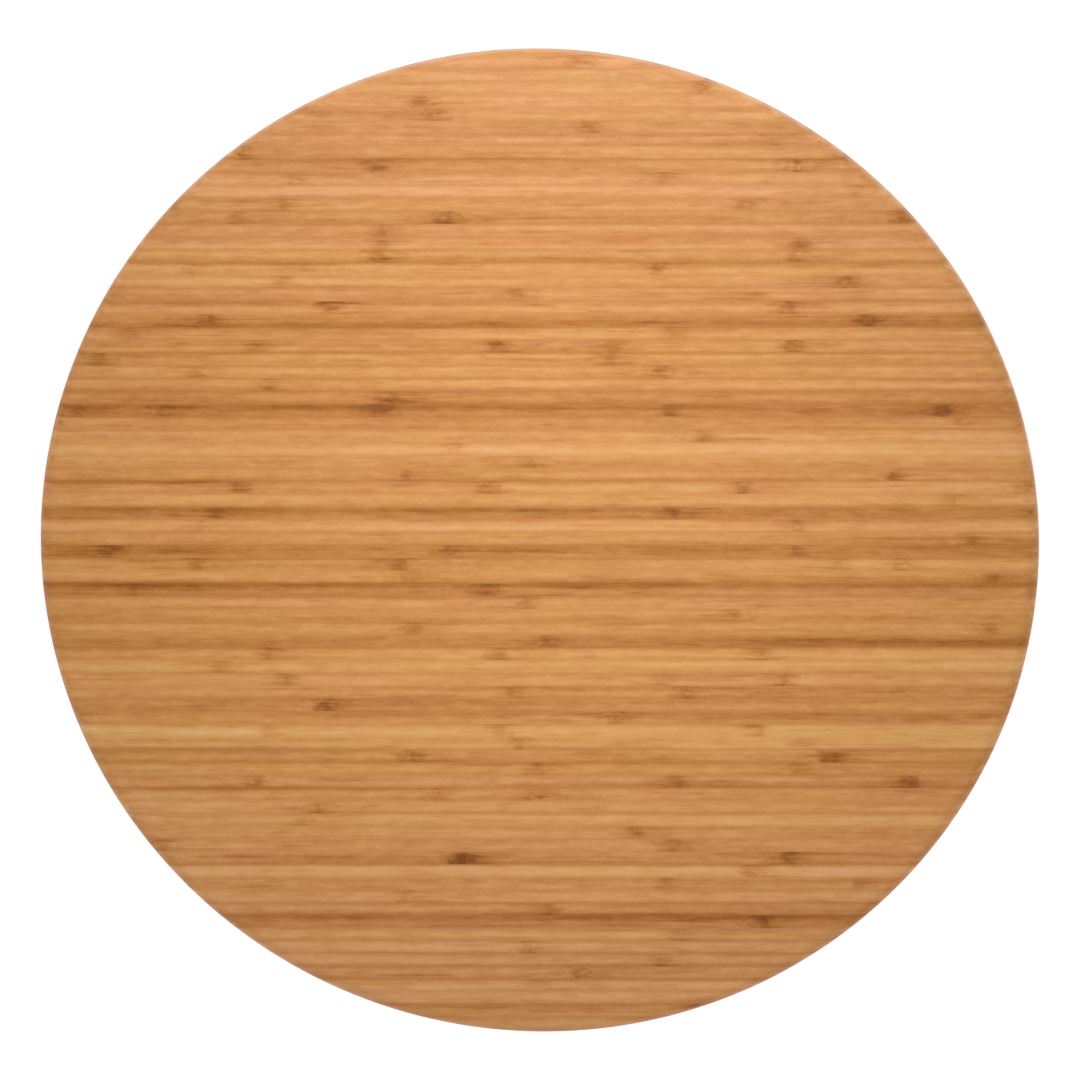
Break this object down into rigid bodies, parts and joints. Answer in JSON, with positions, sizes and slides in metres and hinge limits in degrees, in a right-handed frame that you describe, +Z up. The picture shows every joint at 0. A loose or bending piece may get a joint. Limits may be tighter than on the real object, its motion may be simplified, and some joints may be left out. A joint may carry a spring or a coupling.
{
  "type": "lazy susan turntable",
  "caption": "Round bamboo lazy susan: a flat serving board that spins on a caged ball swivel over a smaller round base board with rubber feet.",
  "frame": {"origin": "centre of the circle of feet, on the surface that they stand on", "axes": "+Z up along the axis that the serving board turns about; +X along the bamboo strips of both boards at rest"},
  "size_m": [0.3999, 0.4, 0.041],
  "materials": {
    "top_bamboo": "satin oiled",
    "base_bamboo": "satin oiled",
    "swivel_steel": "zinc plated, pressed",
    "rivet_steel": "zinc plated",
    "ball_steel": "polished",
    "nylon": "natural nylon",
    "foot_rubber": "moulded",
    "washer_steel": "zinc plated",
    "screw_steel": "zinc plated"
  },
  "bodies": {
    "base": {"base_board": "base_bamboo", "lower_swivel_plate": "swivel_steel", "lower_plate_screws": "screw_steel", "rivet_washer": "nylon", "foot_1": "foot_rubber", "foot_2": "foot_rubber", "foot_3": "foot_rubber", "foot_4": "foot_rubber", "foot_5": "foot_rubber", "foot_6": "foot_rubber", "foot_washer_1": "washer_steel", "foot_washer_2": "washer_steel", "foot_washer_3": "washer_steel", "foot_washer_4": "washer_steel", "foot_washer_5": "washer_steel", "foot_washer_6": "washer_steel", "foot_screws": "screw_steel"},
    "turntable": {"top_board": "top_bamboo", "upper_swivel_plate": "swivel_steel", "upper_plate_screws": "screw_steel", "centre_rivet": "rivet_steel"},
    "cage": {"ball_cage": "nylon", "ball_01": "ball_steel", "ball_02": "ball_steel", "ball_03": "ball_steel", "ball_04": "ball_steel", "ball_05": "ball_steel", "ball_06": "ball_steel", "ball_07": "ball_steel", "ball_08": "ball_steel", "ball_09": "ball_steel", "ball_10": "ball_steel", "ball_11": "ball_steel", "ball_12": "ball_steel", "ball_13": "ball_steel", "ball_14": "ball_steel", "ball_15": "ball_steel", "ball_16": "ball_steel", "ball_17": "ball_steel", "ball_18": "ball_steel", "ball_19": "ball_steel", "ball_20": "ball_steel", "ball_21": "ball_steel", "ball_22": "ball_steel", "ball_23": "ball_steel", "ball_24": "ball_steel"}
  },
  "joints": [
    {"name": "top_spin", "type": "hinge", "parent": "base", "child": "turntable", "pos_m": [0, 0, 0.022], "axis": [0, 0, 1], "continuous": true},
    {"name": "cage_orbit", "type": "hinge", "parent": "base", "child": "cage", "pos_m": [0, 0, 0.022], "axis": [0, 0, 1], "continuous": true}
  ],
  "couplings": [
    {"joint": "cage_orbit", "follows": "top_spin", "ratio": 0.5}
  ]
}
